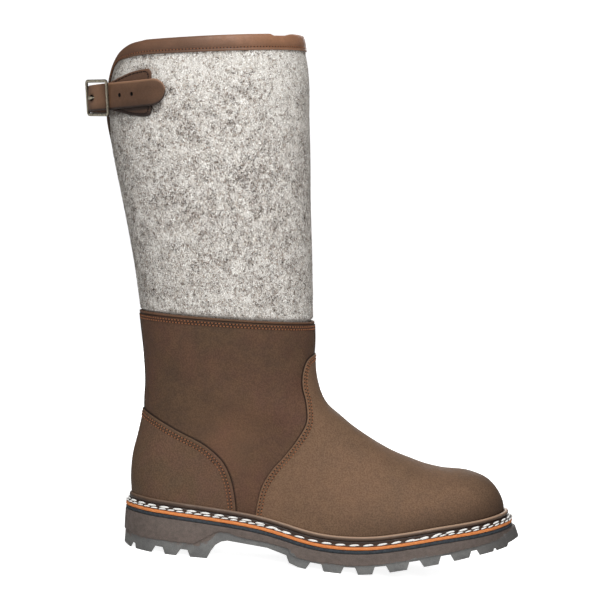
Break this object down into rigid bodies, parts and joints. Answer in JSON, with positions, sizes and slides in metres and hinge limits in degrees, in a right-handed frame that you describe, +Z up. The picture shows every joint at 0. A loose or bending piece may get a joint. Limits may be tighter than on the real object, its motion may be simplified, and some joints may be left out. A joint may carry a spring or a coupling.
{
  "type": "winter boot",
  "caption": "Knee-high winter boot for the right foot: felt shaft with a slit and strap at the back, leather foot, stitched midsole and lugged rubber sole.",
  "frame": {"origin": "on the floor, under the middle of the boot's box", "axes": "+X towards the toe, -Y towards the outer side of the foot, +Z up the shaft"},
  "size_m": [0.37, 0.123, 0.4086],
  "materials": {
    "outsole": "matte brownish grey",
    "rubber_midsole": "matte blue-grey",
    "leather_midsole": "raw orange-tan edge",
    "welt": "dark brown, satin",
    "insole": "plain board",
    "upper": "brown nubuck",
    "vamp": "brown nubuck",
    "heel_counter": "brown nubuck",
    "felt_shaft": "heathered grey wool felt",
    "collar_binding": "reddish brown, satin",
    "strap_patch": "reddish brown, satin",
    "strap": "reddish brown, satin",
    "buckle_frame": "antique",
    "buckle_prong": "antique"
  },
  "bodies": {
    "root": {"outsole": "outsole", "rubber_midsole": "rubber_midsole", "leather_midsole": "leather_midsole", "welt": "welt", "insole": "insole", "upper": "upper", "vamp": "vamp", "heel_counter": "heel_counter", "felt_shaft": "felt_shaft", "collar_binding": "collar_binding", "strap_patch": "strap_patch", "strap": "strap", "buckle_frame": "buckle_frame", "buckle_prong": "buckle_prong"}
  },
  "joints": []
}
